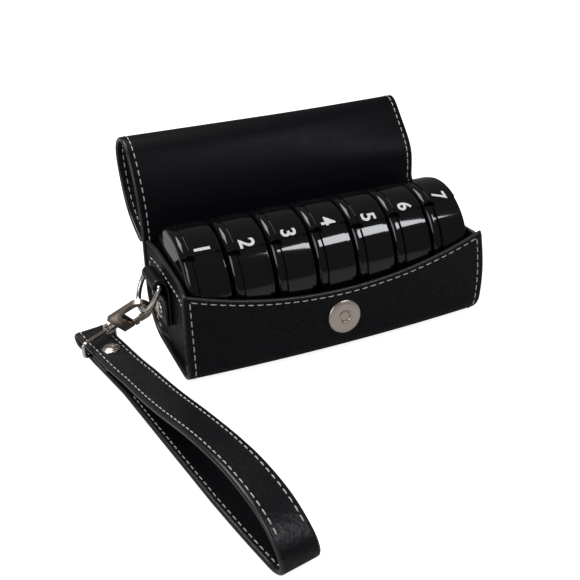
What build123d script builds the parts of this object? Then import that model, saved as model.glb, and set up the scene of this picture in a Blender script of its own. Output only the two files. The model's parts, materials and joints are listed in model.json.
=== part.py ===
from build123d import *
from math import atan2, cos, degrees, radians, sin, sqrt
import os

# A roll-up leather case that holds seven round pill boxes side by side, with a folding flap,
# a magnetic snap, and a wrist strap on a trigger hook.
# X runs along the case, Y to its back, Z up. The origin is the middle of the case's flat bottom.

# Pill boxes, drums that lie on their rims with their axes along X
box_count = 7
box_radius = 31.0
box_width = 20.6
box_gap = 1.6
box_wall = 1.5
band_start = 4.9
band_width = 12.5
body_strip_drop = 1.2
lid_strip_drop = 0.5
left_shoulder = 2.8
right_shoulder = 0.8
split_angle = 52.7
lid_gap = 0.2
box_turns = (0.0, -3.0, -1.0, 3.0, -1.5, 2.0, 6.0)
notch_length = 7.0
notch_height = 2.0
notch_depth = 0.8

# Lid hinge
knuckle_radius = 1.7
knuckle_width = 4.5
knuckle_gap = 0.3
lid_pin_radius = 0.8
pin_fit = 0.05
rim_relief = 1.2
hinge_rail = 2.4

# Leather case
leather = 2.2
rim_clearance = 0.4
end_clearance = 0.5
wrap_lip = 2.9
wall_bulge = 1.4
front_rim = 49.3
rim_dip = 14.8
rear_rim = 51.0
front_corner = 16.0
rear_corner = 22.0
seam_gap = 0.1
board_thickness = 2.5
seat_gap = 0.3

# Flap, rigid strips of one leather sheet, each with its heading in the YZ plane
flap_strip = 17.0
flap_tip = 24.0
flap_headings = (82.4, 62.5, 38.2, -25.6, -95.7, -123.0, -155.5)
hinge_gap = 0.1

# Magnetic snap
snap_height = 19.4
snap_radius = 9.0
snap_plate = 1.2
snap_hole_radius = 2.6
magnet_radius = 6.6
magnet_thickness = 1.0
pocket_gap = 0.15
washer_length = 18.0
washer_height = 5.0
washer_thickness = 0.5
prong_offset = 7.7
prong_width = 3.0
prong_thickness = 0.5
stud_radius = 7.0
stud_plate = 1.2
stud_post_radius = 1.8
stud_post_height = 0.8
stud_reach = 15.1
stud_prong_offset = 5.0

# Tab and ring on the left end
tab_width = 19.0
tab_tube_radius = 3.25
tab_thickness = 3.6
tab_standoff = 5.9
tab_height = 41.0
tab_bottom = 17.0
tab_y = 5.0
rivet_height = 23.0
rivet_head_radius = 4.5
rivet_head_height = 1.8
rivet_shank_radius = 1.5
rivet_foot_radius = 3.5
rivet_foot_height = 0.5
d_wire = 2.5
d_corner = 1.5
d_depth = 17.0
d_lean = 27.0

# Wrist strap, laid flat on the surface that the case stands on
strap_width = 17.5
strap_ply = 2.4
fold_gap = 2.6
strap_angle = 10.0
loop_reach = 3.5
loop_bend = 8.4
loop_top = (-45.0, 23.4)
loop_rise = (-110.0, 11.8)
loop_start = -162.0
ply_end = -159.0
ply_start = -174.0
fold_centre = -187.0
strap_rivet_u = -168.0
strap_rivet_radius = 4.6
strap_rivet_height = 1.8

# Strap ring, a flat wire loop threaded through the strap's fold
ring_u = -180.0
ring_angle = 33.0
ring_wire = 2.0
ring_length = 22.0
ring_corner = 2.0
eye_along_ring = 6.6

# Trigger hook, from the ring's bow to the bar in its eye
hook_length = 24.33
hook_heading = 141.92
eye_wire = 1.4
eye_radius = 2.4
eye_clearance = 0.4
hook_bar = 2.4
hook_mouth = 3.6
hook_thickness = 3.2
hook_clearance = 0.3
nose_clearance = 1.7
swivel_room = 6.33
hook_base_length = 7.4
gate_tip = 5.6
gate_inset = 2.2
gate_thickness = 1.8
gate_tail_radius = 1.4
gate_slot_gap = 0.2
gate_pin_radius = 0.6
thumb_length = 2.4
thumb_height = 1.0
swivel_radius = 1.1
swivel_head_radius = 1.6
swivel_head = 1.0
swivel_gap = 0.1
collar_radius = 2.0
spring_radius = 0.9
spring_bore = 0.5
spring_length = 2.4

# Sizes that follow from the ones above
box_pitch = box_width + box_gap
row_half = (box_count * box_pitch - box_gap) / 2
gusset_inner = row_half + end_clearance
gusset_outer = gusset_inner + leather
case_half = gusset_outer + wrap_lip
rim_half_depth = box_radius + rim_clearance + leather
wall_half_depth = rim_half_depth + wall_bulge
board_top = leather + board_thickness
axis_z = board_top + seat_gap + box_radius
split_z = box_radius * sin(radians(split_angle))
lid_pin_z = split_z - lid_gap
lid_pin_y = sqrt((box_radius - knuckle_radius - lid_gap) ** 2 - lid_pin_z ** 2)
board_front = wall_half_depth - front_corner - 2 * seat_gap
board_rear = wall_half_depth - rear_corner - 2 * seat_gap


def wrap_face_path(inset):
    """Draws one face of the wrap, from the front rim round the bottom to the rear rim."""
    wall = wall_half_depth - inset
    rim = rim_half_depth - inset
    front_y = front_corner - wall_half_depth
    rear_y = wall_half_depth - rear_corner
    front_r = front_corner - inset
    rear_r = rear_corner - inset
    half = sqrt(0.5)
    first = Line((-rim, front_rim), (-wall, front_corner))
    middle = (front_y - half * front_r, front_corner - half * front_r)
    front = ThreePointArc(first @ 1, middle, (front_y, inset))
    bottom = Line(front @ 1, (rear_y, inset))
    middle = (rear_y + half * rear_r, rear_corner - half * rear_r)
    rear = ThreePointArc(bottom @ 1, middle, (wall, rear_corner))
    last = Line(rear @ 1, (rim, rear_rim))
    return first @ 0, last @ 1


def write(piece, name):
    """Names a finished piece and writes it to its own file."""
    piece.part.label = name
    export_step(piece.part, "parts/" + name + ".step")


os.makedirs("parts", exist_ok=True)

# The snap's place on the front wall, square to the wall's lean
wall_lean = degrees(atan2(wall_bulge, front_rim - front_corner))
snap_slide = (snap_height - front_corner) / (front_rim - front_corner)
snap_y = -wall_half_depth + wall_bulge * snap_slide
snap_normal = (0, -cos(radians(wall_lean)), sin(radians(wall_lean)))
snap_plane = Plane(origin=(0, snap_y, snap_height), x_dir=(1, 0, 0), z_dir=snap_normal)

# Leather wrap: front wall, bottom and back wall in one sheet, its front rim dipped
with BuildPart() as case_wrap:
    with BuildSketch(Plane.YZ):
        with BuildLine():
            outer_start, outer_end = wrap_face_path(0)
            inner_start, inner_end = wrap_face_path(leather)
            Line(outer_start, inner_start)
            Line(outer_end, inner_end)
        make_face()
    extrude(amount=case_half, both=True)
    dip_radius = (case_half ** 2 + rim_dip ** 2) / (2 * rim_dip)
    with BuildSketch(Plane.XZ.offset(rim_half_depth - 2 * leather)):
        with Locations((0, front_rim - rim_dip + dip_radius)):
            Circle(dip_radius)
    extrude(amount=4 * leather, mode=Mode.SUBTRACT)
    with BuildSketch(snap_plane):
        Circle(magnet_radius + pocket_gap)
    extrude(amount=-magnet_thickness - pocket_gap, mode=Mode.SUBTRACT)
    with BuildSketch(snap_plane):
        with Locations((-prong_offset, 0), (prong_offset, 0)):
            Rectangle(prong_thickness + 2 * pocket_gap, prong_width + 2 * pocket_gap)
    extrude(amount=-2 * leather, mode=Mode.SUBTRACT)
write(case_wrap, "case_wrap")

# End panels, sewn inside the wrap a lip's width from its edges
for side, side_name in ((-1, "left"), (1, "right")):
    with BuildPart() as gusset:
        with BuildSketch(Plane.YZ.offset(side * gusset_inner)):
            with BuildLine():
                edge_start, edge_end = wrap_face_path(leather + seam_gap)
                Line(edge_start, edge_end)
            make_face()
        extrude(amount=side * leather)
        if side < 0:
            with BuildSketch(Plane.YZ.offset(-gusset_inner)):
                with Locations((tab_y, rivet_height)):
                    Circle(rivet_foot_radius + pocket_gap)
            extrude(amount=-rivet_foot_height - pocket_gap, mode=Mode.SUBTRACT)
            with BuildSketch(Plane.YZ.offset(-gusset_inner)):
                with Locations((tab_y, rivet_height)):
                    Circle(rivet_shank_radius + pin_fit)
            extrude(amount=-2 * leather, mode=Mode.SUBTRACT)
    write(gusset, side_name + "_gusset")

# Stiff board in the bottom of the case, under the boxes
with BuildPart() as base_board:
    with BuildSketch(Plane.XY.offset(leather)):
        with Locations((0, (board_rear - board_front) / 2)):
            Rectangle(2 * (gusset_inner - seat_gap), board_front + board_rear)
    extrude(amount=board_thickness)
write(base_board, "base_board")


def box_plane(number):
    """The left face of one pill box, turned about the box's own axis."""
    left = -row_half + number * box_pitch
    turn = radians(-box_turns[number])
    return Plane(origin=(left, 0, axis_z), x_dir=(0, cos(turn), sin(turn)), z_dir=(1, 0, 0))


def disc(face, radius):
    """A circle about a plane's own origin."""
    with BuildSketch(face) as profile:
        Circle(radius)
    return profile.sketch


def drum(face, strip_drop):
    """A hollow drum with rounded shoulders and a raised band round its rim."""
    strip_radius = box_radius - strip_drop
    extrude(disc(face, strip_radius), amount=box_width)
    fillet(edges().filter_by(GeomType.CIRCLE).sort_by(Axis.X)[0], radius=left_shoulder)
    fillet(edges().filter_by(GeomType.CIRCLE).sort_by(Axis.X)[-1], radius=right_shoulder)
    extrude(disc(face.offset(band_start), box_radius), amount=band_width)
    hollow = disc(face.offset(box_wall), strip_radius - box_wall)
    extrude(hollow, amount=box_width - 2 * box_wall, mode=Mode.SUBTRACT)


def hinge_disc(face, radius):
    """A circle about the lid's hinge axis."""
    with BuildSketch(face) as profile:
        with Locations((lid_pin_y, lid_pin_z)):
            Circle(radius)
    return profile.sketch


left_knuckle = left_shoulder
right_knuckle = box_width - 2 * right_shoulder - knuckle_width
middle_knuckle = left_knuckle + knuckle_width
middle_width = right_knuckle - middle_knuckle

for number in range(box_count):
    face = box_plane(number)
    cut_face = face.offset(-box_gap / 2)
    inner_face = face.offset(box_wall)

    # Box body: the drum below the split, with two hinge knuckles on a rail at its rear rim
    with BuildPart() as box_body:
        drum(face, body_strip_drop)
        with BuildSketch(inner_face):
            with Locations((lid_pin_y - knuckle_radius, lid_pin_z - rim_relief)):
                Rectangle(box_radius, hinge_rail, align=(Align.MIN, Align.MAX))
            Circle(box_radius - body_strip_drop - box_wall / 2, mode=Mode.INTERSECT)
        extrude(amount=box_width - 2 * box_wall)
        with BuildSketch(cut_face):
            with Locations((0, split_z)):
                Rectangle(3 * box_radius, box_radius, align=(Align.CENTER, Align.MIN))
            with Locations((lid_pin_y - knuckle_radius, lid_pin_z - rim_relief)):
                Rectangle(box_radius, box_radius, align=(Align.MIN, Align.MIN))
        extrude(amount=box_pitch, mode=Mode.SUBTRACT)
        clearing = hinge_disc(face.offset(middle_knuckle), knuckle_radius + knuckle_gap)
        extrude(clearing, amount=middle_width, mode=Mode.SUBTRACT)
        for start in (left_knuckle, right_knuckle):
            extrude(hinge_disc(face.offset(start), knuckle_radius), amount=knuckle_width)
        extrude(hinge_disc(cut_face, lid_pin_radius + pin_fit), amount=box_pitch, mode=Mode.SUBTRACT)
        with BuildSketch(cut_face):
            with Locations((-sqrt(box_radius ** 2 - split_z ** 2), split_z)):
                Rectangle(2 * (body_strip_drop + notch_depth), 2 * notch_height)
        extrude(amount=notch_length, mode=Mode.SUBTRACT)
    write(box_body, "box_" + str(number + 1) + "_body")

    # Lid: the drum above the split, with one hinge knuckle between the body's two
    with BuildPart() as box_lid:
        drum(face, lid_strip_drop)
        with BuildSketch(cut_face):
            with Locations((lid_pin_y, split_z + lid_gap)):
                Rectangle(2 * box_radius, box_radius, align=(Align.MAX, Align.MIN))
        extrude(amount=box_pitch, mode=Mode.INTERSECT)
        for start in (left_knuckle, right_knuckle):
            clearing = hinge_disc(face.offset(start - knuckle_gap), knuckle_radius + knuckle_gap)
            extrude(clearing, amount=knuckle_width + 2 * knuckle_gap, mode=Mode.SUBTRACT)
        middle_face = face.offset(middle_knuckle + knuckle_gap)
        extrude(hinge_disc(middle_face, knuckle_radius), amount=middle_width - 2 * knuckle_gap)
        extrude(hinge_disc(cut_face, lid_pin_radius + pin_fit), amount=box_pitch, mode=Mode.SUBTRACT)
    write(box_lid, "box_" + str(number + 1) + "_lid")

    # Hinge pin through the three knuckles
    with BuildPart() as lid_pin:
        pin_length = right_knuckle + knuckle_width - left_knuckle
        extrude(hinge_disc(face.offset(left_knuckle), lid_pin_radius), amount=pin_length)
    write(lid_pin, "box_" + str(number + 1) + "_lid_pin")

# Flap strips, from the back rim up, over and down behind the case
strip_end = leather / 2
flap_points = [(rim_half_depth - strip_end, rear_rim + strip_end + hinge_gap)]
for heading in flap_headings:
    length = flap_tip if heading == flap_headings[-1] else flap_strip
    last_y, last_z = flap_points[-1]
    step = (length * cos(radians(heading)), length * sin(radians(heading)))
    flap_points.append((last_y + step[0], last_z + step[1]))

tip_heading = radians(flap_headings[-1])
tip_along = (0, cos(tip_heading), sin(tip_heading))
tip_inner = (0, -sin(tip_heading), cos(tip_heading))
tip_start = flap_points[-2]
stud_y = tip_start[0] + stud_reach * tip_along[1] + strip_end * tip_inner[1]
stud_z = tip_start[1] + stud_reach * tip_along[2] + strip_end * tip_inner[2]
stud_plane = Plane(origin=(0, stud_y, stud_z), x_dir=(1, 0, 0), z_dir=tip_inner)

for index, heading in enumerate(flap_headings):
    near_y, near_z = flap_points[index]
    far_y, far_z = flap_points[index + 1]
    length = sqrt((far_y - near_y) ** 2 + (far_z - near_z) ** 2)
    direction = (0, cos(radians(heading)), sin(radians(heading)))
    section = Plane(origin=(-case_half, near_y, near_z), x_dir=direction, z_dir=(1, 0, 0))
    near_end = 0 if index == 0 else strip_end + hinge_gap
    with BuildPart() as flap_panel:
        with BuildSketch(section):
            with Locations((near_end, 0)):
                Rectangle(length - near_end, leather, align=(Align.MIN, Align.CENTER))
            with Locations((length, 0)):
                Circle(strip_end)
            if index == 0:
                Circle(strip_end)
        extrude(amount=2 * case_half)
        if heading == flap_headings[-1]:
            with BuildSketch(stud_plane.offset(-leather)):
                Circle(stud_radius + pocket_gap)
            extrude(amount=washer_thickness + pocket_gap, mode=Mode.SUBTRACT)
            with BuildSketch(stud_plane):
                with Locations((-stud_prong_offset, 0), (stud_prong_offset, 0)):
                    Rectangle(prong_thickness + 2 * pocket_gap, prong_width + 2 * pocket_gap)
            extrude(amount=-leather, mode=Mode.SUBTRACT)
    write(flap_panel, "flap_panel_" + str(index + 1))

# Snap socket on the front wall: a holed plate with two prongs through the leather
prong_length = leather + washer_thickness + pocket_gap
with BuildPart() as snap_socket:
    with BuildSketch(snap_plane):
        Circle(snap_radius)
        Circle(snap_hole_radius, mode=Mode.SUBTRACT)
    extrude(amount=snap_plate)
    with BuildSketch(snap_plane):
        with Locations((-prong_offset, 0), (prong_offset, 0)):
            Rectangle(prong_thickness, prong_width)
    extrude(amount=-prong_length)
write(snap_socket, "snap_socket")

# Ring magnet in a pocket of the front wall, behind the socket's plate
with BuildPart() as snap_magnet:
    with BuildSketch(snap_plane):
        Circle(magnet_radius)
        Circle(snap_hole_radius, mode=Mode.SUBTRACT)
    extrude(amount=-magnet_thickness)
write(snap_magnet, "snap_magnet")

# Washer behind the front wall, on the socket's prongs
with BuildPart() as snap_socket_washer:
    with BuildSketch(snap_plane.offset(-leather)):
        Rectangle(washer_length, washer_height)
        with Locations((-prong_offset, 0), (prong_offset, 0)):
            Rectangle(prong_thickness + pocket_gap, prong_width + pocket_gap, mode=Mode.SUBTRACT)
    extrude(amount=-washer_thickness)
write(snap_socket_washer, "snap_socket_washer")

# Snap stud near the flap's tip, on the face that turns to the socket
with BuildPart() as snap_stud:
    with BuildSketch(stud_plane):
        Circle(stud_radius)
    extrude(amount=stud_plate)
    with BuildSketch(stud_plane.offset(stud_plate)):
        Circle(stud_post_radius)
    extrude(amount=stud_post_height)
    with BuildSketch(stud_plane):
        with Locations((-stud_prong_offset, 0), (stud_prong_offset, 0)):
            Rectangle(prong_thickness, prong_width)
    extrude(amount=-leather)
write(snap_stud, "snap_stud")

# Washer sunk into the other face of the flap, on the stud's prongs
with BuildPart() as snap_stud_washer:
    with BuildSketch(stud_plane.offset(-leather)):
        Circle(stud_radius)
        with Locations((-stud_prong_offset, 0), (stud_prong_offset, 0)):
            Rectangle(prong_thickness + pocket_gap, prong_width + pocket_gap, mode=Mode.SUBTRACT)
    extrude(amount=washer_thickness)
write(snap_stud_washer, "snap_stud_washer")

# Leather tab on the left end, folded round the ring's straight bar
tab_x = -gusset_outer - tab_standoff
tab_face = -gusset_outer - tab_thickness
tab_section = Plane(origin=(0, tab_y, 0), x_dir=(1, 0, 0), z_dir=(0, -1, 0))
with BuildPart() as ring_tab:
    with BuildSketch(tab_section):
        with BuildLine():
            Polyline(
                (-gusset_outer, tab_height),
                (-gusset_outer, tab_bottom),
                (tab_face, tab_bottom),
                (tab_face, tab_height - 2 * tab_tube_radius),
                (tab_x, tab_height - tab_tube_radius),
                (tab_x, tab_height + tab_tube_radius),
                close=True,
            )
        make_face()
        with Locations((tab_x, tab_height)):
            Circle(tab_tube_radius)
            Circle(d_wire / 2 + pin_fit, mode=Mode.SUBTRACT)
    extrude(amount=tab_width / 2, both=True)
    with BuildSketch(Plane.YZ.offset(-gusset_outer)):
        with Locations((tab_y, rivet_height)):
            Circle(rivet_shank_radius + pin_fit)
    extrude(amount=-2 * tab_thickness, mode=Mode.SUBTRACT)
write(ring_tab, "ring_tab")

# Rivet through the tab and the left end panel
with BuildPart() as tab_rivet:
    with BuildSketch(Plane.YZ.offset(tab_face)):
        with Locations((tab_y, rivet_height)):
            Circle(rivet_head_radius)
    extrude(amount=-rivet_head_height)
    fillet(edges().sort_by(Axis.X)[0], radius=0.9 * rivet_head_height)
    with BuildSketch(Plane.YZ.offset(tab_face)):
        with Locations((tab_y, rivet_height)):
            Circle(rivet_shank_radius)
    extrude(amount=tab_thickness + leather - rivet_foot_height)
    with BuildSketch(Plane.YZ.offset(-gusset_inner)):
        with Locations((tab_y, rivet_height)):
            Circle(rivet_foot_radius)
    extrude(amount=-rivet_foot_height)
write(tab_rivet, "tab_rivet")

# Ring hanging from the tab, leaning away from the case
lean = radians(d_lean)
d_half = tab_width / 2 + d_corner + 2 * hook_clearance
d_plane = Plane(
    origin=(tab_x, tab_y, tab_height),
    x_dir=(0, 1, 0),
    z_dir=(cos(lean), 0, -sin(lean)),
)
with BuildPart() as d_ring:
    with BuildLine(d_plane):
        bar = Line((d_corner - d_half, 0), (d_half - d_corner, 0))
        right_turn = RadiusArc(bar @ 1, (d_half, -d_corner), d_corner)
        right_arm = Line(right_turn @ 1, (d_half, d_half - d_depth))
        bow = ThreePointArc(right_arm @ 1, (0, -d_depth), (-d_half, d_half - d_depth))
        left_arm = Line(bow @ 1, (-d_half, -d_corner))
        left_turn = RadiusArc(left_arm @ 1, bar @ 0, d_corner)
    with BuildSketch(Plane(origin=bar @ 0, z_dir=bar % 0)):
        Circle(d_wire / 2)
    sweep()
write(d_ring, "d_ring")

# The hook runs from the ring's bow down to the strap ring's upper bar, and the strap lies where it ends
low_z = strap_ply / 2
fold_z = strap_ply + fold_gap / 2
high_z = 2 * fold_z - low_z
ply_top = high_z + low_z
eye_outer = eye_radius + eye_wire / 2
ring_rise = ply_top + eye_outer + eye_clearance + hook_clearance - fold_z
bow_point = Vector(tab_x - d_depth * sin(lean), tab_y, tab_height - d_depth * cos(lean))
hook_drop = bow_point.Z - fold_z - ring_rise
hook_run = sqrt(hook_length ** 2 - hook_drop ** 2)
hook_turn = radians(hook_heading)
eye_point = bow_point + Vector(hook_run * cos(hook_turn), hook_run * sin(hook_turn), -hook_drop)
hook_along = (eye_point - bow_point).normalized()
ring_turn = radians(ring_angle)
ring_along = Vector(cos(ring_turn), sin(ring_turn), 0)
ring_centre = eye_point - ring_along * eye_along_ring - Vector(0, 0, ring_rise)
strap_turn = radians(strap_angle)
strap_along = Vector(sin(strap_turn), -cos(strap_turn), 0)
strap_across = Vector(cos(strap_turn), sin(strap_turn), 0)
strap_corner = ring_centre - strap_along * ring_u - strap_across * (strap_width / 2) - Vector(0, 0, fold_z)

# Strap: one leather strip laid double, sewn and riveted near the ring, open as a hand loop
strap_section = Plane(
    origin=strap_corner + strap_across * strap_width,
    x_dir=strap_along,
    z_dir=strap_across * -1,
)
with BuildPart() as wrist_strap:
    with BuildSketch(strap_section):
        with BuildLine():
            top = Line((fold_centre, high_z), (loop_start, high_z))
            rise = TangentArc(top @ 1, loop_rise, tangent=top % 1)
            crest = TangentArc(rise @ 1, loop_top, tangent=rise % 1)
            fall = TangentArc(crest @ 1, (0, loop_bend + loop_reach), tangent=crest % 1)
            bend = TangentArc(fall @ 1, (0, loop_reach), tangent=fall % 1)
            slope = bend % 1
            landing_run = (loop_reach - low_z) * (1 - slope.X) / -slope.Y
            landing = TangentArc(bend @ 1, (-landing_run, low_z), tangent=slope)
            bottom = Line(landing @ 1, (fold_centre, low_z))
            ThreePointArc(bottom @ 1, (fold_centre - fold_gap / 2 - low_z, fold_z), top @ 0)
        trace(line_width=strap_ply)
        with Locations(((ply_start + ply_end) / 2, fold_z)):
            Rectangle(ply_end - ply_start, fold_gap + low_z)
    extrude(amount=strap_width)
    rivet_foot = strap_corner + strap_across * (strap_width / 2) + strap_along * strap_rivet_u
    with BuildSketch(Plane(origin=rivet_foot)):
        Circle(rivet_shank_radius + pin_fit)
    extrude(amount=2 * ply_top, mode=Mode.SUBTRACT)
    with BuildSketch(Plane(origin=rivet_foot)):
        Circle(rivet_foot_radius + pocket_gap)
    extrude(amount=rivet_foot_height + pocket_gap, mode=Mode.SUBTRACT)
write(wrist_strap, "wrist_strap")

# Rivet through the strap's layers
with BuildPart() as strap_rivet:
    with BuildSketch(Plane(origin=rivet_foot)):
        Circle(rivet_foot_radius)
    extrude(amount=rivet_foot_height)
    with BuildSketch(Plane(origin=rivet_foot)):
        Circle(rivet_shank_radius)
    extrude(amount=ply_top)
    with BuildSketch(Plane(origin=rivet_foot).offset(ply_top)):
        Circle(strap_rivet_radius)
    extrude(amount=strap_rivet_height)
    fillet(edges().sort_by(Axis.Z)[-1], radius=0.9 * strap_rivet_height)
write(strap_rivet, "strap_rivet")

# Strap ring: its lower bar lies in the strap's fold, its upper bar on the top ply
ring_plane = Plane(origin=ring_centre, x_dir=ring_along, z_dir=ring_along.cross(Vector(0, 0, 1)))
ring_half = ring_length / 2
ring_side = ring_half - ring_corner
with BuildPart() as strap_ring:
    with BuildLine(ring_plane):
        low_bar = Line((-ring_side, 0), (ring_side, 0))
        turn_1 = RadiusArc(low_bar @ 1, (ring_half, ring_corner), -ring_corner)
        right_side = Line(turn_1 @ 1, (ring_half, ring_rise - ring_corner))
        turn_2 = RadiusArc(right_side @ 1, (ring_side, ring_rise), -ring_corner)
        high_bar = Line(turn_2 @ 1, (-ring_side, ring_rise))
        turn_3 = RadiusArc(high_bar @ 1, (-ring_half, ring_rise - ring_corner), -ring_corner)
        left_side = Line(turn_3 @ 1, (-ring_half, ring_corner))
        turn_4 = RadiusArc(left_side @ 1, low_bar @ 0, -ring_corner)
    with BuildSketch(Plane(origin=low_bar @ 0, z_dir=low_bar % 0)):
        Circle(ring_wire / 2)
    sweep()
write(strap_ring, "strap_ring")

# Trigger hook, drawn from the D-shaped ring's bow to the strap ring's upper bar
hook_side = (Vector(0, 1, 0) - hook_along * hook_along.Y).normalized()
hook_plane = Plane(origin=bow_point, x_dir=hook_along, z_dir=hook_side)
nose_x = hook_mouth - d_wire / 2 - nose_clearance
hook_half = hook_mouth + hook_bar
hook_base_end = hook_length - swivel_room
hook_base_start = hook_base_end - hook_base_length
gate_pivot = hook_base_start + gate_inset
gate_y = -(hook_mouth + hook_half) / 2
slot_half = gate_thickness / 2 + gate_slot_gap


def hook_disc(distance, radius):
    """A circle square to the hook's length, at a distance along it."""
    return disc(Plane(origin=bow_point + hook_along * distance, z_dir=hook_along), radius)


def hook_block(left, right, low, high, mode=Mode.ADD):
    """A rectangle in the hook's plane, from its edges."""
    with Locations((left, low)):
        Rectangle(right - left, high - low, align=(Align.MIN, Align.MIN), mode=mode)


with BuildPart() as hook_body:
    with BuildSketch(hook_plane):
        with Locations((nose_x, 0)):
            Circle(hook_half)
        hook_block(nose_x, hook_base_end, -hook_half, hook_half)
        with Locations((nose_x, 0)):
            Circle(hook_mouth, mode=Mode.SUBTRACT)
        hook_block(nose_x, hook_base_start, -hook_mouth, hook_mouth, Mode.SUBTRACT)
        hook_block(gate_tip, hook_base_start, -2 * hook_half, -hook_mouth, Mode.SUBTRACT)
    extrude(amount=hook_thickness / 2, both=True)
    slot_end = gate_pivot + gate_tail_radius + gate_slot_gap
    with BuildSketch(hook_plane):
        hook_block(gate_tip, slot_end, -2 * hook_half, -swivel_head_radius - gate_slot_gap)
    extrude(amount=slot_half, both=True, mode=Mode.SUBTRACT)
    extrude(hook_disc(hook_base_start - swivel_gap, swivel_head_radius + swivel_gap),
            amount=swivel_head + 2 * swivel_gap, mode=Mode.SUBTRACT)
    extrude(hook_disc(hook_base_start, swivel_radius + swivel_gap), amount=hook_base_end, mode=Mode.SUBTRACT)
    with BuildSketch(hook_plane):
        with Locations((gate_pivot, gate_y)):
            Circle(gate_pin_radius + pin_fit)
    extrude(amount=hook_thickness, both=True, mode=Mode.SUBTRACT)
    spring_centre = hook_plane.from_local_coords((slot_end, gate_y, 0))
    with BuildSketch(Plane(origin=spring_centre, z_dir=hook_along)):
        Circle(spring_radius + pin_fit)
    extrude(amount=spring_length, mode=Mode.SUBTRACT)
write(hook_body, "hook_body")

# Gate that closes the hook's mouth, with a thumb nub
with BuildPart() as hook_gate:
    with BuildSketch(hook_plane):
        hook_block(gate_tip + hook_clearance, gate_pivot, -hook_half, gate_y + hook_bar / 2 - hook_clearance)
        with Locations((gate_pivot, gate_y)):
            Circle(gate_tail_radius)
        thumb_start = (gate_tip + gate_pivot - thumb_length) / 2
        hook_block(thumb_start, thumb_start + thumb_length, -hook_half - thumb_height, -hook_half)
        with Locations((gate_pivot, gate_y)):
            Circle(gate_pin_radius + pin_fit, mode=Mode.SUBTRACT)
    extrude(amount=gate_thickness / 2, both=True)
write(hook_gate, "hook_gate")

# Pin that the gate turns on
with BuildPart() as gate_pin:
    with BuildSketch(hook_plane):
        with Locations((gate_pivot, gate_y)):
            Circle(gate_pin_radius)
    extrude(amount=hook_thickness / 2, both=True)
write(gate_pin, "gate_pin")

# Gate spring in its bore, as a plain sleeve
with BuildPart() as gate_spring:
    with BuildSketch(Plane(origin=spring_centre, z_dir=hook_along)):
        Circle(spring_radius)
        Circle(spring_bore, mode=Mode.SUBTRACT)
    extrude(amount=spring_length - pin_fit)
write(gate_spring, "gate_spring")

# Swivel eye: a headed post in the hook's base, with a wire eye round the strap ring's bar
eye_offset = eye_radius - eye_wire / 2 - ring_wire / 2 - hook_clearance
eye_centre = hook_length - eye_offset
eye_axis = (ring_along - hook_along * ring_along.dot(hook_along)).normalized()
with BuildPart() as hook_eye:
    extrude(hook_disc(hook_base_start, swivel_head_radius), amount=swivel_head)
    extrude(hook_disc(hook_base_start, swivel_radius), amount=hook_base_end - hook_base_start + swivel_gap)
    collar_length = eye_centre - eye_radius - hook_base_end - swivel_gap
    extrude(hook_disc(hook_base_end + swivel_gap, collar_radius), amount=collar_length)
    with Locations(Plane(origin=bow_point + hook_along * eye_centre, z_dir=eye_axis)):
        Torus(eye_radius, eye_wire / 2)
write(hook_eye, "hook_eye")

print("case length", round(2 * case_half, 2), "hook span", round(hook_length, 2))
print("box axis height", round(axis_z, 2), "flap tip", flap_points[-1])
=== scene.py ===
# %% [markdown]
# # A leather pill organizer
#
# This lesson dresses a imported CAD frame. The frame gives every piece its place and its motion,
# and Blender adds what CAD leaves out: soft leather, sewing, plastic gloss and plated metal.
# Lengths are written in millimetres and turned into metres when a mesh is made.

# %% Load the frame
import bmesh
import bpy
import json
import numpy as np
from mathutils import Matrix, Vector


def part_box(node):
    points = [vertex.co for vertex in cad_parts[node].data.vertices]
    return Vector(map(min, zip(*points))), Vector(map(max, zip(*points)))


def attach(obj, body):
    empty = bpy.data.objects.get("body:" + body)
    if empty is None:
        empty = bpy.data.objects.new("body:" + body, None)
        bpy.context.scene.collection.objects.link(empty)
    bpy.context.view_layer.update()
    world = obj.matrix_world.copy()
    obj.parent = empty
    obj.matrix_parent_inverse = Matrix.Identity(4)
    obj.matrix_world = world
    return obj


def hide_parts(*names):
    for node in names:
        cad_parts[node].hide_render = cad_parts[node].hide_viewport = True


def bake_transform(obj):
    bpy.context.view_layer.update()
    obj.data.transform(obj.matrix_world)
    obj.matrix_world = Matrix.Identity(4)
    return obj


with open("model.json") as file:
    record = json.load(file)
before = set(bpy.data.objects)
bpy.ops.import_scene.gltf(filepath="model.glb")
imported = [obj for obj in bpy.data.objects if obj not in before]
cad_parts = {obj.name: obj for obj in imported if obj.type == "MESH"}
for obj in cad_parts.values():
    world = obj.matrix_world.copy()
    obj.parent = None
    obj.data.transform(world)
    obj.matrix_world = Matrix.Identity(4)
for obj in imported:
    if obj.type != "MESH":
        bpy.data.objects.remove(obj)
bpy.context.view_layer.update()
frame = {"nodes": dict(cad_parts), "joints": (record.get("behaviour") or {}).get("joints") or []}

MM = 0.001
nodes = frame["nodes"]
joints = {j["name"]: j for j in frame["joints"]}


def node_box(name):
    """A CAD node's lowest and highest corners, in millimetres."""
    low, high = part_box(name)
    return np.array(low) / MM, np.array(high) / MM


# %% [markdown]
# ## Grids become meshes
#
# Most of the real object is bent sheet or turned metal. Such shapes could be pushed into place by hand
# in edit mode, but a formula follows the frame when a size changes. So every new piece starts as a grid
# of points in two parameters. One helper turns its rows and columns into quads, another writes the mesh.

# %% Grid helpers
def unit(vectors):
    """Each vector divided by its own length."""
    return vectors / np.linalg.norm(vectors, axis=-1, keepdims=True)


def travelled(points):
    """The distance covered along a row of points, from zero at the first."""
    steps = np.linalg.norm(np.diff(points, axis=0), axis=1)
    return np.concatenate([[0.0], np.cumsum(steps)])


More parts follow.
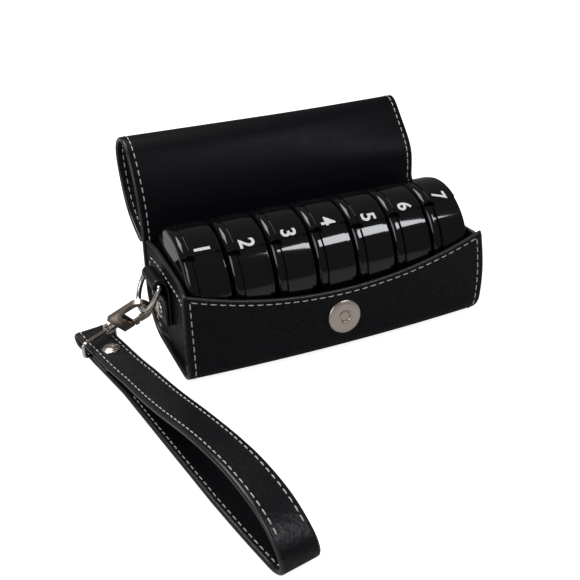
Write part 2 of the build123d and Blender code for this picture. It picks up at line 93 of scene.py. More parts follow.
def grid_quads(ids):
    """Quads between neighbours of a two-way table of point numbers, columns first and then rows."""
    corners = [ids[:-1, :-1], ids[:-1, 1:], ids[1:, 1:], ids[1:, :-1]]
    return np.stack(corners, axis=-1).reshape(-1, 4)


def closed(ids):
    """The same table with its first column repeated after its last, so that the surface closes."""
    return np.concatenate([ids, ids[:, :1]], axis=1)


def add_piece(name, points, faces, materials, slots=None, uv=None):
    """Makes a smooth mesh object from points in millimetres, with a material for each face."""
    mesh = bpy.data.meshes.new(name)
    mesh.from_pydata((points * MM).tolist(), [], [list(f) for f in faces])
    for material in materials:
        mesh.materials.append(material)
    if slots is not None:
        mesh.polygons.foreach_set("material_index", np.asarray(slots, np.int32))
    if uv is not None:
        corner = np.zeros(len(mesh.loops), np.int32)
        mesh.loops.foreach_get("vertex_index", corner)
        layer = mesh.uv_layers.new(name="UVMap")
        layer.data.foreach_set("uv", uv[corner].astype(np.float32).ravel())
    mesh.polygons.foreach_set("use_smooth", np.ones(len(mesh.polygons), bool))
    mesh.update()
    piece = bpy.data.objects.new(name, mesh)
    bpy.context.scene.collection.objects.link(piece)
    return piece


print("grid helpers ready")

# %% [markdown]
# ## Leather sheets
#
# Real leather goods are cut from sheet, and their edges are painted until they are round. A plane with a
# Solidify modifier would have thickness but square edges. Here both faces lie half a thickness from a
# middle surface, along its normals, and a half circle rounds each free edge, as the paint does.

# %% Leather sheets
EDGE_STEPS = 6


def sheet_normals(middle):
    """Unit normals of a grid: the direction across crossed with the direction along."""
    return unit(np.cross(np.gradient(middle, axis=1), np.gradient(middle, axis=0)))


def leather_sheet(name, middle, thickness, materials, free="all"):
    """A sheet about a grid of middle points: faces at half a thickness along the normals, joined at
    the free edges by half circles. Materials are for the face along the normals, the other and the edge."""
    rows, columns = middle.shape[:2]
    normal = sheet_normals(middle).reshape(-1, 3)
    flat = middle.reshape(-1, 3)
    ids = np.arange(rows * columns).reshape(rows, columns)
    left, end, right, start = ids[:, 0], ids[-1, :], ids[::-1, -1], ids[0, ::-1]
    paths = {
        "all": [np.concatenate([start[:-1], left[:-1], end[:-1], right])],
        "sides": [left, right],
        "end": [np.concatenate([left[:-1], end[:-1], right])],
    }[free]
    across = travelled(middle.mean(axis=0))
    along = travelled(middle.mean(axis=1))
    flat_uv = np.stack(np.meshgrid(across, along), axis=-1).reshape(-1, 2)
    half = thickness / 2
    points = [flat + half * normal, flat - half * normal]
    uvs = [flat_uv, flat_uv]
    faces = [grid_quads(ids), grid_quads(ids[:, ::-1] + flat.shape[0])]
    slots = [np.zeros(len(faces[0])), np.ones(len(faces[1]))]
    count = 2 * flat.shape[0]
    turn = np.pi * np.arange(1, EDGE_STEPS)[:, None, None] / EDGE_STEPS
    for path in paths:
        heading = np.gradient(flat[path], axis=0)
        if path[0] == path[-1]:
            heading[0] = heading[-1] = flat[path[1]] - flat[path[-2]]
        outward = unit(np.cross(normal[path], heading))
        arc = flat[path] + half * (np.cos(turn) * normal[path] + np.sin(turn) * outward)
        numbers = count + np.arange(arc.shape[0] * arc.shape[1]).reshape(arc.shape[:2])
        if path[0] == path[-1]:
            numbers[:, -1] = numbers[:, 0]
        table = np.concatenate([path[None], numbers, path[None] + flat.shape[0]])
        points.append(arc.reshape(-1, 3))
        uvs.append(np.tile(flat_uv[path], (arc.shape[0], 1)))
        faces.append(grid_quads(table))
        slots.append(np.full(len(faces[-1]), 2))
        count += arc.shape[0] * arc.shape[1]
    return add_piece(name, np.concatenate(points), np.concatenate(faces), materials,
                     np.concatenate(slots), np.concatenate(uvs))


print("leather sheets ready")

# %% [markdown]
# ## Thread
#
# A seam shows as a row of short stitches whose ends dive into the leather. A dashed texture would look
# flat from the side, so each stitch is a small spindle, and one call makes a whole row as one mesh.

# %% Thread
STITCH_PITCH = 4.7
STITCH_LENGTH = 3.6
STITCH_WIDTH = 0.58
STITCH_LIFT = 0.12
STITCH_DIVE = 0.3
STITCH_SIDES = 6


def thread_row(name, line, normals, material, pitch=STITCH_PITCH, length=STITCH_LENGTH):
    """One seam of stitches. Each is a spindle, its radius a half ellipse along its length, bowed so that
    both ends dive into the leather; copies stand at equal steps along the line."""
    distance = travelled(line)
    total = max(2, int(round(distance[-1] / pitch)))
    at = (np.arange(total) + 0.5) * distance[-1] / total
    spot = np.stack([np.interp(at, distance, line[:, k]) for k in range(3)], axis=-1)
    up = unit(np.stack([np.interp(at, distance, normals[:, k]) for k in range(3)], axis=-1))
    ahead = np.stack([np.interp(at + 0.3, distance, line[:, k]) for k in range(3)], axis=-1)
    behind = np.stack([np.interp(at - 0.3, distance, line[:, k]) for k in range(3)], axis=-1)
    along = unit(ahead - behind)
    side = np.cross(up, along)
    share = np.array([-1.0, -0.92, -0.6, 0.0, 0.6, 0.92, 1.0])[:, None]
    angle = (np.arange(STITCH_SIDES) * 2 * np.pi / STITCH_SIDES)[None, :]
    girth = STITCH_WIDTH / 2 * np.sqrt(np.clip(1.02 - share ** 4, 0.02, 1))
    x = (share * length / 2 + 0 * angle).reshape(-1)
    y = (girth * np.cos(angle)).reshape(-1)
    z = (girth * np.sin(angle) + STITCH_LIFT - STITCH_DIVE * share ** 2).reshape(-1)
    shape = (spot[:, None] + x[None, :, None] * along[:, None] + y[None, :, None] * side[:, None]
             + z[None, :, None] * up[:, None])
    ids = np.arange(x.size).reshape(-1, STITCH_SIDES)
    first, last = ids[0], ids[-1]
    caps = [first[[3, 2, 1, 0]], first[[0, 5, 4, 3]], last[[0, 1, 2, 3]], last[[3, 4, 5, 0]]]
    one = np.concatenate([grid_quads(closed(ids))[:, ::-1], caps])
    faces = one[None] + x.size * np.arange(total)[:, None, None]
    return add_piece(name, shape.reshape(-1, 3), faces.reshape(-1, 4), [material])


print("thread ready:", STITCH_LENGTH, "mm stitches,", STITCH_PITCH, "mm apart")

# %% [markdown]
# ## Turned pieces
#
# Rivets and snaps are pressed round. A Screw modifier could spin a curve, but its object would have to be
# turned into place. Here a profile of radius and height goes once round any axis, so that the mesh is
# made where it belongs.

# %% Turned pieces
TURN_STEPS = 56


def turned(name, profile, centre, axis, material):
    """Turns (radius, height) pairs about an axis through a centre; the heights run along the axis."""
    axis = unit(np.asarray(axis, float))
    across = unit(np.cross(axis, [0.31, 0.17, 0.94]))
    third = np.cross(axis, across)
    radius, height = np.asarray(profile, float).T[:, :, None]
    angle = (2 * np.pi * np.arange(TURN_STEPS) / TURN_STEPS)[None, :]
    points = (np.asarray(centre, float) + (radius * np.cos(angle))[..., None] * across
              + (radius * np.sin(angle))[..., None] * third + (height + 0 * angle)[..., None] * axis)
    ids = np.arange(radius.shape[0] * TURN_STEPS).reshape(-1, TURN_STEPS)
    faces = grid_quads(closed(ids)).tolist() + [ids[0, ::-1].tolist(), ids[-1].tolist()]
    piece = add_piece(name, points.reshape(-1, 3), faces, [material])
    piece.data.set_sharp_from_angle(angle=np.radians(35))
    return piece


def rounded_profile(corners, radius, steps=5):
    """A profile whose inner corners are cut by quadratic curves that start a radius from each corner."""
    corners = np.asarray(corners, float)
    line = [corners[:1]]
    share = np.linspace(0, 1, steps)[:, None]
    for before, corner, after in zip(corners[:-2], corners[1:-1], corners[2:]):
        enter = corner + (before - corner) * min(0.5, radius / np.linalg.norm(before - corner))
        leave = corner + (after - corner) * min(0.5, radius / np.linalg.norm(after - corner))
        line.append((1 - share) ** 2 * enter + 2 * share * (1 - share) * corner + share ** 2 * leave)
    return np.concatenate(line + [corners[-1:]])


print("turned pieces ready")

# %% [markdown]
# ## Materials
#
# The case's leather is pressed with a fine diagonal grain outside and is smooth inside, and the strap's
# is pebbled. A picture could be wrapped round them, but a node tree needs no file and stays sharp. A bump
# gives the grain at its real size, because the sheets' UV maps count millimetres, and noise varies the
# gloss as handling does.

# %% Material helpers
def new_material(name, colour, roughness, metallic=0.0):
    """A material with its shader set to plain values, and its node tree's parts."""
    material = bpy.data.materials.new(name)
    material.use_nodes = True
    tree = material.node_tree
    shader = tree.nodes["Principled BSDF"]
    shader.inputs["Base Color"].default_value = (*colour, 1)
    shader.inputs["Roughness"].default_value = roughness
    shader.inputs["Metallic"].default_value = metallic
    material.diffuse_color = (*colour, 1)
    return material, tree, shader


def node(tree, kind, **inputs):
    """Adds a node and sets its sockets: a plain value is stored, an output socket is linked."""
    made = tree.nodes.new(kind)
    for key, value in inputs.items():
        socket = made.inputs[int(key[1:])] if key[1:].isdigit() else made.inputs[key.replace("_", " ")]
        if isinstance(value, bpy.types.NodeSocket):
            tree.links.new(value, socket)
        else:
            socket.default_value = value
    return made


def maths(tree, operation, first, second):
    """The output of one sum on two values or sockets."""
    made = node(tree, "ShaderNodeMath", i0=first, i1=second)
    made.operation = operation
    return made.outputs[0]


def spread(tree, value, low, high):
    """A value from 0 to 1 stretched over another span."""
    return node(tree, "ShaderNodeMapRange", Value=value, To_Min=low, To_Max=high).outputs[0]


def add_bump(tree, shader, height, strength, depth):
    """Joins a height to the shader's normal; the depth is in metres."""
    made = node(tree, "ShaderNodeBump", Strength=strength, Distance=depth, Height=height)
    tree.links.new(made.outputs["Normal"], shader.inputs["Normal"])


print("material helpers ready")

# %% Leather materials
BLACK_LEATHER = (0.0046, 0.0047, 0.0066)


def cross_grain(name, roughness, grain_depth, gloss, lines_per_mm=0.62, slant=46.0):
    """Black leather with a pressed grain: two sets of wavering diagonal lines, broken up by noise."""
    material, tree, shader = new_material(name, BLACK_LEATHER, roughness)
    place = tree.nodes.new("ShaderNodeUVMap").outputs["UV"]
    lines = []
    for turn in (slant, -slant):
        mapping = node(tree, "ShaderNodeMapping", Vector=place, Rotation=(0, 0, np.radians(turn)))
        wave = node(tree, "ShaderNodeTexWave", Vector=mapping.outputs[0], Scale=lines_per_mm / 2.5,
                    Distortion=3.5, Detail=2.0, Detail_Scale=1.4)
        wave.bands_direction = "Y"
        lines.append(wave.outputs["Fac"])
    patch = node(tree, "ShaderNodeTexNoise", Vector=place, Scale=0.16, Detail=3.0).outputs["Fac"]
    fine = node(tree, "ShaderNodeTexNoise", Vector=place, Scale=2.4, Detail=2.0).outputs["Fac"]
    grain = maths(tree, "MULTIPLY", lines[0], lines[1])
    height = maths(tree, "ADD", maths(tree, "MULTIPLY", grain, patch), maths(tree, "MULTIPLY", fine, 0.35))
    add_bump(tree, shader, height, 0.75, grain_depth * MM)
    tree.links.new(spread(tree, patch, roughness - 0.06, roughness + 0.1), shader.inputs["Roughness"])
    shader.inputs["Specular IOR Level"].default_value = gloss
    return material


def pebble_grain(name, roughness, pebble, grain_depth):
    """Black leather with a pebbled grain: rounded cells of one size, with creases between them."""
    material, tree, shader = new_material(name, BLACK_LEATHER, roughness)
    place = tree.nodes.new("ShaderNodeUVMap").outputs["UV"]
    cells = node(tree, "ShaderNodeTexVoronoi", Vector=place, Scale=1 / pebble)
    cells.feature = "SMOOTH_F1"
    patch = node(tree, "ShaderNodeTexNoise", Vector=place, Scale=0.12, Detail=3.0).outputs["Fac"]
    height = maths(tree, "SUBTRACT", 1.0, cells.outputs["Distance"])
    add_bump(tree, shader, height, 0.7, grain_depth * MM)
    tree.links.new(spread(tree, patch, roughness - 0.06, roughness + 0.08), shader.inputs["Roughness"])
    shader.inputs["Specular IOR Level"].default_value = 0.26
    return material


grain_leather = cross_grain("case_leather_grain", 0.38, 1.5, 0.14)
smooth_leather = cross_grain("case_leather_smooth", 0.42, 0.04, 0.1)
strap_leather = pebble_grain("strap_leather_pebble", 0.38, 1.5, 0.22)
tab_leather = pebble_grain("tab_leather_smooth", 0.42, 0.8, 0.03)

edge_paint, tree, shader = new_material("edge_paint", (0.011, 0.011, 0.012), 0.3)
waver = node(tree, "ShaderNodeTexNoise", Vector=tree.nodes.new("ShaderNodeTexCoord").outputs["Object"],
             Scale=420.0, Detail=2.0).outputs["Fac"]
add_bump(tree, shader, waver, 0.35, 0.12 * MM)
tree.links.new(spread(tree, waver, 0.22, 0.4), shader.inputs["Roughness"])

thread, tree, shader = new_material("white_thread", (0.72, 0.72, 0.7), 0.75)
place = tree.nodes.new("ShaderNodeTexCoord").outputs["Object"]
strand = node(tree, "ShaderNodeTexNoise", Vector=place, Scale=2600.0, Detail=1.0).outputs["Fac"]
add_bump(tree, shader, strand, 0.5, 0.08 * MM)
tint = node(tree, "ShaderNodeMix")
tint.data_type = "RGBA"
tint.inputs[6].default_value = (0.42, 0.42, 0.41, 1)
tint.inputs[7].default_value = (0.68, 0.68, 0.66, 1)
tree.links.new(strand, tint.inputs[0])
tree.links.new(tint.outputs[2], shader.inputs["Base Color"])
shader.inputs["Sheen Weight"].default_value = 0.2
print("leather materials ready")

# %% [markdown]
# The boxes are moulded in glossy plastic, the rings are polished, and the hook and the snap are satin.
# Each could have one plain roughness, but real gloss is never quite even. So one helper lets the roughness
# waver between two values, and only colour, metal and the size of the waver differ.

# %% Plastic, ink and metal materials
def worn_gloss(name, colour, low, high, metallic=0.0, scale=160.0, stretch=(1, 1, 1), bump=0.0):
    """A glossy surface whose roughness wavers between two values, with a faint ripple."""
    material, tree, shader = new_material(name, colour, low, metallic)
    place = tree.nodes.new("ShaderNodeTexCoord").outputs["Object"]
    mapping = node(tree, "ShaderNodeMapping", Vector=place, Scale=stretch)
    noise = node(tree, "ShaderNodeTexNoise", Vector=mapping.outputs[0], Scale=scale, Detail=4.0)
    waver = noise.outputs["Fac"]
    tree.links.new(spread(tree, waver, low, high), shader.inputs["Roughness"])
    if bump:
        add_bump(tree, shader, waver, 0.4, bump * MM)
    return material, shader


box_plastic, shader = worn_gloss("box_plastic_gloss", (0.0035, 0.0035, 0.0045), 0.03, 0.09, scale=90.0)
shader.inputs["IOR"].default_value = 1.5
white_ink, shader = worn_gloss("number_ink", (0.82, 0.82, 0.82), 0.35, 0.5, scale=500.0)
polished, shader = worn_gloss("polished_nickel", (0.66, 0.62, 0.58), 0.17, 0.25, 1.0, scale=120.0)
satin, shader = worn_gloss("satin_nickel", (0.53, 0.465, 0.42), 0.26, 0.4, 1.0, scale=300.0,
                           stretch=(1, 9, 1), bump=0.03)
shader.inputs["Anisotropic"].default_value = 0.35
steel, shader = worn_gloss("drawn_steel", (0.5, 0.5, 0.5), 0.3, 0.45, 1.0, scale=400.0, stretch=(0.1, 1, 1))
magnet_coat, shader = worn_gloss("magnet_coat", (0.06, 0.06, 0.065), 0.5, 0.7, 0.6, scale=700.0, bump=0.05)
lining, shader = worn_gloss("board_lining", (0.012, 0.012, 0.013), 0.7, 0.9, scale=900.0, bump=0.1)


def paint_node(name, material):
    """Gives a carried-over CAD node one material in place of its plain one."""
    nodes[name].data.materials.clear()
    nodes[name].data.materials.append(material)


print("plastic and metal materials ready")

# %% [markdown]
# ## Camera, floor and light
#
# Goods for sale are shown on white, under large soft lamps that give broad highlights. The camera's angles,
# distance and lens were solved from the case's edges, so that the view matches. A floor lit until it is
# white would also light the leather from below. So the floor glows only for the camera, and the background
# is bright for the camera and dim for all else.

# %% Camera
IMAGE = 580
FOCAL_PIXELS = 878.684
CENTRE_PIXEL = (313.695, 276.008)
CAMERA_TURN = np.radians(-25.008)
CAMERA_RISE = np.radians(27.98)
CAMERA_ROLL = np.radians(-0.437)
CAMERA_DISTANCE = 470.367
LOOK_AT = np.array([0.0, 0.0, 25.0])
SENSOR = 36.0

back = np.array([np.sin(CAMERA_TURN) * np.cos(CAMERA_RISE), -np.cos(CAMERA_TURN) * np.cos(CAMERA_RISE),
                 np.sin(CAMERA_RISE)])
right = unit(np.cross(-back, [0, 0, 1]))
above = np.cross(right, -back)
rolled_right = np.cos(CAMERA_ROLL) * right + np.sin(CAMERA_ROLL) * above
rolled_above = np.cos(CAMERA_ROLL) * above - np.sin(CAMERA_ROLL) * right
placed = np.eye(4)
placed[:3, 0], placed[:3, 1], placed[:3, 2] = rolled_right, rolled_above, back
placed[:3, 3] = (LOOK_AT + CAMERA_DISTANCE * back) * MM

lens = bpy.data.cameras.new("camera")
lens.sensor_width = SENSOR
lens.lens = SENSOR * FOCAL_PIXELS / IMAGE
lens.shift_x = (IMAGE / 2 - CENTRE_PIXEL[0]) / IMAGE
lens.shift_y = (CENTRE_PIXEL[1] - IMAGE / 2) / IMAGE
lens.clip_start = 0.01
camera = bpy.data.objects.new("camera", lens)
camera.matrix_world = Matrix(placed.tolist())
bpy.context.scene.collection.objects.link(camera)
bpy.context.scene.camera = camera
print("camera at", np.round(placed[:3, 3] / MM), "mm")

# %% Floor and light
FLOOR_HALF = 3000.0
FLOOR_GLOW = 0.9
FLOOR_DROP = 0.05
SKY_LIGHT = 0.14

corners = np.array([[-1, -1, 0], [1, -1, 0], [1, 1, 0], [-1, 1, 0]]) * FLOOR_HALF - [0, 0, FLOOR_DROP]
floor_white, floor_tree, floor_shader = new_material("floor_white", (0.6, 0.6, 0.6), 0.8)
floor_shader.inputs["Specular IOR Level"].default_value = 0.0
floor_seen = floor_tree.nodes.new("ShaderNodeLightPath").outputs["Is Camera Ray"]
floor_glow = spread(floor_tree, floor_seen, 0.0, FLOOR_GLOW)
floor_shader.inputs["Emission Color"].default_value = (1, 1, 1, 1)
floor_tree.links.new(floor_glow, floor_shader.inputs["Emission Strength"])
add_piece("floor", corners, [[0, 1, 2, 3]], [floor_white])

scene = bpy.context.scene
scene.view_settings.view_transform = "Standard"
scene.world = bpy.data.worlds.new("studio")
scene.world.use_nodes = True
sky = scene.world.node_tree
seen = sky.nodes.new("ShaderNodeLightPath").outputs["Is Camera Ray"]
strength = spread(sky, seen, SKY_LIGHT, 1.0)
sky.nodes["Background"].inputs["Color"].default_value = (1, 1, 1, 1)
sky.links.new(strength, sky.nodes["Background"].inputs["Strength"])


def soft_lamp(name, place, aim, size, power, colour):
    """A rectangular lamp at a place in millimetres, turned to an aim point."""
    lamp = bpy.data.lights.new(name, "AREA")
    lamp.shape = "RECTANGLE"
    lamp.size, lamp.size_y = size[0] * MM, size[1] * MM
    lamp.energy = power
    lamp.color = colour
    made = bpy.data.objects.new(name, lamp)
    toward = Vector(np.array(aim, float) - np.array(place, float))
    turn = toward.to_track_quat("-Z", "Y").to_matrix().to_4x4()
    made.matrix_world = Matrix.Translation(Vector(place) * MM) @ turn
    bpy.context.scene.collection.objects.link(made)
    return made


soft_lamp("top_lamp", (-300, 420, 1050), (0, 0, 30), (700, 600), 8.4, (1.0, 0.93, 0.86))
soft_lamp("left_lamp", (-900, -350, 600), (0, 0, 40), (500, 700), 4.2, (0.88, 0.93, 1.0))
soft_lamp("front_lamp", (440, -530, 810), (20, 0, 40), (240, 210), 2.2, (0.95, 0.97, 1.0))
print("floor and lamps ready")

# %% [markdown]
# ## The case
#
# One sheet makes the back wall, the bottom and the front wall. It could be draped by simulation, but it
# is stiff and its section is known, so a formula is truer. The section is two leaning walls and two round
# corners, carried along X. The front rim dips in a long arc, and the wall bows out a little.

# %% The wrap's surface
LEATHER = 2.2
WALL_BULGE = 1.4
FRONT_CORNER = 9.5
REAR_CORNER = 22.0
FRONT_RIM = 49.3
RIM_DIP = 14.8
REAR_SEAM = 44.0
BOW = 1.5
SIDE_SWELL = 3.0
CORNER_FULL = 4.0
FULL_TOP = 28.0
SEAM_INSET = 3.7
RIM_INSET = 2.5
SEAM_STRIP = np.array([-0.5, 0.0, 0.5])

wrap_high = node_box("case_wrap")[1]
case_half = wrap_high[0]
wall_half = wrap_high[1]
rear_rim = wrap_high[2]
middle_wall = wall_half - LEATHER / 2
edge_inset = LEATHER / 2


def lean(height, corner, rim):
    """How far a wall has come in at a height: none at its corner, the full bulge at its rim."""
    return WALL_BULGE * (height - corner) / (rim - corner)


def rim_height(x):
    """The dipped front rim: a circle through both top corners and the dip's lowest point."""
    radius = (case_half ** 2 + RIM_DIP ** 2) / (2 * RIM_DIP)
    return FRONT_RIM - RIM_DIP + radius - np.sqrt(radius ** 2 - x ** 2)


def wrap_surface(x, drop=0.0):
    """Middle points of the wrap for each x, row by row from the back seam to the front rim, less a drop.
    The front wall bows out most at mid length, is fullest low down, and swells at its right end."""
    x = np.asarray(x, float)[None, :]
    rear = np.linspace(REAR_SEAM, REAR_CORNER, 10)[:-1, None] + 0 * x
    rear_y = middle_wall - lean(rear, REAR_CORNER, rear_rim)
    turn = np.linspace(0, np.pi / 2, 15)[:-1, None] + 0 * x
    rear_reach, front_reach = REAR_CORNER - LEATHER / 2, FRONT_CORNER - LEATHER / 2
    rear_arc = (wall_half - REAR_CORNER + rear_reach * np.cos(turn), REAR_CORNER - rear_reach * np.sin(turn))
    flat_y = np.linspace(wall_half - REAR_CORNER, FRONT_CORNER - wall_half, 11)[:-1, None] + 0 * x
    front_arc = (FRONT_CORNER - wall_half - front_reach * np.sin(turn),
                 FRONT_CORNER - front_reach * np.cos(turn))
    share = np.linspace(0, 1, 25)[:, None]
    front = FRONT_CORNER + share * (rim_height(x) - edge_inset - drop - FRONT_CORNER)
    front_y = lean(front, FRONT_CORNER, FRONT_RIM) - middle_wall
    y = np.concatenate([rear_y, rear_arc[0], flat_y, front_arc[0], front_y])
    z = np.concatenate([rear, rear_arc[1], 0 * flat_y + LEATHER / 2, front_arc[1], front])
    forward = np.clip((FRONT_CORNER - wall_half - y) / front_reach, 0, 1)
    bowed = forward ** 1.5
    full = forward ** 0.5 * np.clip(1 - z / FULL_TOP, 0, 1) ** 2
    y = y - (BOW * bowed + CORNER_FULL * full) * (1 - (x / case_half) ** 2)
    swell = bowed * np.sin(np.pi * np.clip(z / FRONT_RIM, 0, 1)) * np.clip(x / case_half, 0, 1) ** 4
    return np.stack([x + SIDE_SWELL * swell, y, z], axis=-1)


wrap_x = np.linspace(-case_half + edge_inset, case_half - edge_inset, 81)
wrap_middle = wrap_surface(wrap_x)
case_wrap = leather_sheet("case_wrap_leather", wrap_middle, LEATHER,
                          [grain_leather, smooth_leather, edge_paint], free="end")
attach(case_wrap, "case")
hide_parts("case_wrap")
wrap_lengths = [travelled(wrap_middle[:, column])[-1] + edge_inset for column in (0, 40)]
print("case wrap: seam to rim", np.round(wrap_lengths, 1), "mm at its end and its middle")

# %% Thread on the wrap
def seam(name, middle, column, lift, body, pitch=STITCH_PITCH, length=STITCH_LENGTH):
    """Stitches down one column of a sheet's middle grid, lifted along the normals to one of its faces."""
    normals = sheet_normals(middle)[:, column] * np.sign(lift)
    row = thread_row(name, middle[:, column] + abs(lift) * normals, normals, thread, pitch, length)
    if body:
        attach(row, body)
    return row


BACK_ROWS = 19
FRONT_ROWS = 38
for side, side_name in ((-1, "left"), (1, "right")):
    strip = wrap_surface(side * (case_half - SEAM_INSET) + SEAM_STRIP, drop=RIM_INSET - edge_inset)
    seam("case_thread_back_" + side_name, strip[:BACK_ROWS], 1, LEATHER / 2, "case")
    seam("case_thread_front_" + side_name, strip[FRONT_ROWS:], 1, LEATHER / 2, "case")
rim_x = np.linspace(SEAM_INSET - case_half, case_half - SEAM_INSET, 90)
below_rim = np.swapaxes(wrap_surface(rim_x, drop=RIM_INSET - edge_inset)[-3:], 0, 1)
seam("case_thread_rim", below_rim, 2, -LEATHER / 2, "case")
print("wrap sewn along its sides and its rim")

# %% [markdown]
# The end panels close the case. A flat cut-out would do from afar, but on the real case the panel's
# edges turn out to meet the wrap's, where both are sewn together. So each panel fills the wrap's section
# row by row, and its front and back edges flare.

# %% End panels
PANEL_GAP = 0.1
PANEL_FLARE = 1.7
PANEL_TOP_FRONT = 47.6
PANEL_TOP_REAR = 50.4
PANEL_CROWDING = 1.6
PANEL_FLAT = 0.45


def panel_surface(side, share_in, share_up):
    """Middle points of an end panel. Rows climb from the bottom, close together in the corners, and each
    row runs from the front wall to the back wall at its own height."""
    inset = LEATHER + PANEL_GAP + edge_inset
    along = np.asarray(share_in, float)[None, :]
    up = np.asarray(share_up, float)[:, None] ** PANEL_CROWDING
    top = PANEL_TOP_FRONT + (PANEL_TOP_REAR - PANEL_TOP_FRONT) * along - edge_inset
    z = inset + (top - inset) * up
    drop_front = np.clip(FRONT_CORNER - z, 0, None)
    drop_rear = np.clip(REAR_CORNER - z, 0, None)
    front = FRONT_CORNER - wall_half - np.sqrt((FRONT_CORNER - inset) ** 2 - drop_front ** 2)
    rear = wall_half - REAR_CORNER + np.sqrt((REAR_CORNER - inset) ** 2 - drop_rear ** 2)
    front = front + lean(np.maximum(z, FRONT_CORNER), FRONT_CORNER, FRONT_RIM)
    rear = rear - lean(np.maximum(z, REAR_CORNER), REAR_CORNER, rear_rim)
    y = front + (rear - front) * along
    edge = np.clip(np.abs(2 * along - 1) - PANEL_FLAT, 0, None) / (1 - PANEL_FLAT)
    x = side * (panel_x + PANEL_FLARE * edge ** 2 + 0 * z)
    return np.stack([x, y, z], axis=-1)


for side, side_name in ((-1, "left"), (1, "right")):
    low, high = node_box(side_name + "_gusset")
    panel_x = abs(low[0] + high[0]) / 2
    across = np.linspace(0, 1, 61)[::-side]
    middle = panel_surface(side, across, np.linspace(0, 1, 41))
    panel = leather_sheet(side_name + "_end_panel", middle, LEATHER,
                          [smooth_leather, grain_leather, edge_paint])
    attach(panel, "case")
    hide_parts(side_name + "_gusset")
    under_top = np.swapaxes(middle[-6:-3], 0, 1)[3:-3]
    seam(side_name + "_panel_thread_top", under_top, 1, LEATHER / 2, "case")
    seam(side_name + "_panel_thread_front", middle[4:-5], -4 if side > 0 else 3, -LEATHER / 2, "case")
    seam(side_name + "_panel_thread_back", middle[4:-5], 3 if side > 0 else -4, -LEATHER / 2, "case")
print("end panels:", np.round(travelled(middle[:, 30])[-1] + LEATHER, 1), "mm high at mid width")

# %% [markdown]
# ## The flap
#
# The real flap is one soft sheet that rolls over the boxes. A cloth simulation could bend it, but it would
# have to be run again for every pose. The frame puts seven hinges along it instead. So the smooth curve
# through the hinges is cut half way between them, into one length for each hinge.

# %% Smooth curves
def smooth_curve(points, at=None, count=60):
    """A natural cubic spline through points, with distance between the points as its parameter.
    Its second derivatives solve one linear system, and two cubic weights carry them into each span."""
    points = np.asarray(points, float)
    knots = travelled(points)
    gap = np.diff(knots)[:, None]
    slope = np.diff(points, axis=0) / gap
    system = np.eye(len(points))
    inner = np.arange(1, len(points) - 1)
    system[inner, inner - 1] = gap[:-1, 0] / 6
    system[inner, inner] = (gap[:-1, 0] + gap[1:, 0]) / 3
    system[inner, inner + 1] = gap[1:, 0] / 6
    pull = np.zeros_like(points)
    pull[1:-1] = np.diff(slope, axis=0)
    bend = np.linalg.solve(system, pull)
    at = np.linspace(0, knots[-1], count) if at is None else np.asarray(at, float)
    span = np.clip(np.searchsorted(knots, at) - 1, 0, len(gap) - 1)
    a = ((knots[span + 1] - at) / gap[span, 0])[:, None]
    b = 1 - a
    curved = (a ** 3 - a) * bend[span] + (b ** 3 - b) * bend[span + 1]
    return a * points[span] + b * points[span + 1] + curved * gap[span] ** 2 / 6


print("spline ready")

# %% Flap surface
FLAP_TIP = 24.0
FLAP_TIP_HEADING = np.radians(-155.5)
FLAP_BLEND = 8.2
FLAP_ROWS = 15
CREST_LIFT = 1.0
CREST_TAIL = 10.0
CREST_SKEW = 8.2
RIGHT_TRIM = 4.8
TRIM_RISE = 14.0
TRIM_FADE = 0.7
FLAP_PITCH = 4.1
FLAP_STITCH = 3.2

hinge_names = ["flap_fold"] + ["flap_bend_%d" % k for k in range(2, 8)]
hinges = np.array([joints[n]["pos_m"][1:] for n in hinge_names]) / MM
tip = hinges[-1] + (FLAP_TIP - edge_inset) * np.array([np.cos(FLAP_TIP_HEADING), np.sin(FLAP_TIP_HEADING)])
seam_y = middle_wall - lean(REAR_SEAM, REAR_CORNER, rear_rim)
flap_line = np.concatenate([[[seam_y, REAR_SEAM]], hinges, [tip]])
flap_knots = travelled(flap_line)
half_way = (flap_knots[1:-2] + flap_knots[2:-1]) / 2
cuts = np.concatenate([flap_knots[:1], half_way, flap_knots[-1:]])


def hump(at, start, end):
    """Zero outside two distances, and a squared sine between them that is 1 half way."""
    share = np.clip((at - start) / (end - start), 0, 1)
    return np.sin(np.pi * share) ** 2


def flap_surface(at, x):
    """Middle points of the flap: its curve, raised a little at the crest, drawn back and trimmed at
    its right end, and bowed near the tip as the front wall is that the tip closes on."""
    x = np.asarray(x, float)[None, :]
    near, far = smooth_curve(flap_line, at - 0.1), smooth_curve(flap_line, at + 0.1)
    heading = unit(far - near)
    inner = np.stack([-heading[:, 1], heading[:, 0]], axis=-1)
    at = np.asarray(at, float)[:, None]
    lift = CREST_LIFT * hump(at, flap_knots[2], flap_knots[5] + CREST_TAIL)
    near_tip = np.clip((at - flap_knots[5]) / (flap_knots[6] - flap_knots[5]), 0, 1)
    out = lift - BOW * near_tip * (1 - (x / case_half) ** 2)
    section = smooth_curve(flap_line, at[:, 0])[:, None] + out[..., None] * inner[:, None]
    skew = CREST_SKEW * hump(at, flap_knots[2], flap_knots[5]) * np.clip(x / case_half, 0, 1) ** 1.5
    fade = 1 - TRIM_FADE * np.sin(np.pi / 2 * np.clip(at / flap_knots[4], 0, 1)) ** 2
    trim = RIGHT_TRIM * np.clip(at / TRIM_RISE, 0, 1) * fade * np.clip(x / case_half, 0, 1) ** 3
    return np.stack([x - trim, section[..., 0] + skew, section[..., 1]], axis=-1)


print("flap:", np.round(flap_knots[-1] + edge_inset, 1), "mm from seam to tip")

